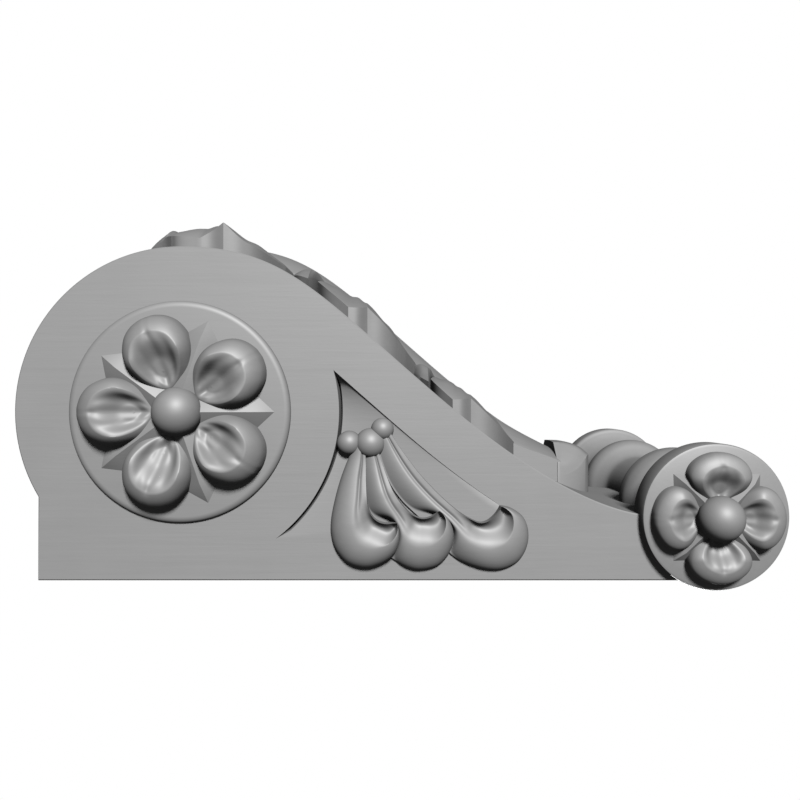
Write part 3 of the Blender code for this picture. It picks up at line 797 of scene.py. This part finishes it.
def leaf_curl():
    """The rolled-up tip of the leaf: crest lines that fall away to the front, lower towards both sides."""
    back = VOLUTE_X + CURL_BACK * RUN
    base = front_height(back)
    grid = []
    for side_angle in np.radians(np.linspace(-84, 84, 49)):
        side = math.sin(side_angle)
        depth = CURL_DEPTH * math.sqrt(1 - side * side)
        crest = base + CURL_RISE - 1.5 * side * side - 16.5 * max(0.0, abs(side) - 0.5225)
        profile = smooth_line(CURL_PROFILE, 6)
        grid.append([(back + share * depth, side * CURL_HALF_WIDTH, crest + drop) for share, drop in profile])
    return standing(grid)


leaf_parts = [leaf_group(*row) for row in LEAF_GROUPS]
leaf_finish = primed_wood("primed_leaf", GRAIN_DOWN, 0.05)
front_leaf = carved("front_leaf", leaf_parts + mirrored(leaf_parts) + [leaf_stem(), leaf_curl()], leaf_finish, 35)
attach(front_leaf, "root")
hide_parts("corbel")


# The studio: a pale floor well under the corbel, a white surround, and soft lights. The main light comes from
# beside the camera, a light from behind shows the far face and the back, and one overhead lights just the floor.

FLOOR_REACH = 0.38
FLOOR_LEVEL = -0.42
FLOOR_GREY = 0.86
FLOOR_ROUGHNESS = 0.9
SURROUND_SEEN = 0.97
SURROUND_LIGHT = 0.03
FRAME_SIZE = 36

floor_mesh = bpy.data.meshes.new("studio_floor")
floor_corners = [(x * FLOOR_REACH, y * FLOOR_REACH, FLOOR_LEVEL) for x, y in ((-1, -1), (1, -1), (1, 1), (-1, 1))]
floor_mesh.from_pydata(floor_corners, [], [(0, 1, 2, 3)])
floor = bpy.data.objects.new("studio_floor", floor_mesh)
bpy.context.scene.collection.objects.link(floor)
floor_finish = bpy.data.materials.new("pale_floor")
floor_finish.use_nodes = True
floor_shader = floor_finish.node_tree.nodes["Principled BSDF"]
floor_shader.inputs["Base Color"].default_value = (FLOOR_GREY, FLOOR_GREY, FLOOR_GREY, 1)
floor_shader.inputs["Roughness"].default_value = FLOOR_ROUGHNESS
floor_mesh.materials.append(floor_finish)


def studio_sun(name, bench_direction, strength, spread):
    """A soft distant light that shines from a bench direction, without any bounced light.

    spread is the width of its disc in the sky, in degrees.
    """
    x, y, z = bench_direction
    lamp = bpy.data.lights.new(name, "SUN")
    lamp.energy = strength
    lamp.angle = math.radians(spread)
    lamp.cycles.max_bounces = 0
    holder = bpy.data.objects.new(name, lamp)
    bpy.context.scene.collection.objects.link(holder)
    holder.rotation_euler = Vector((y, -z, -x)).to_track_quat("Z", "Y").to_euler()
    return holder


studio_sun("main_light", (0.15, -0.79, 0.59), strength=3.05, spread=14)
studio_sun("back_light", (0.1, 0.9, -0.42), strength=3.0, spread=30)
floor_light = studio_sun("floor_light", (-1.0, 0.0, 0.12), strength=2.7, spread=30)
floor_only = bpy.data.collections.new("floor_only")
floor_only.objects.link(floor)
floor_light.light_linking.receiver_collection = floor_only

bpy.context.scene.view_settings.view_transform = "Standard"
world = bpy.data.worlds.new("studio_surround")
bpy.context.scene.world = world
world.use_nodes = True
surround = Shade(world.node_tree)
seen = surround.node("LightPath", {}, {}, "Is Camera Ray")
glow = world.node_tree.nodes["Background"]
glow.inputs["Color"].default_value = (1, 1, 1, 1)
level = SURROUND_LIGHT + seen * SURROUND_SEEN
world.node_tree.links.new(level.socket, glow.inputs["Strength"])

camera_lens = bpy.data.cameras.new("photo_camera")
camera_lens.sensor_width = FRAME_SIZE
camera_lens.lens = FRAME_SIZE
camera = bpy.data.objects.new("photo_camera", camera_lens)
bpy.context.scene.collection.objects.link(camera)
camera.matrix_world = Matrix(((0, 0, -1, -0.399), (0, -1, 0, -0.07224), (-1, 0, 0, -0.0100), (0, 0, 0, 1)))
bpy.context.scene.camera = camera
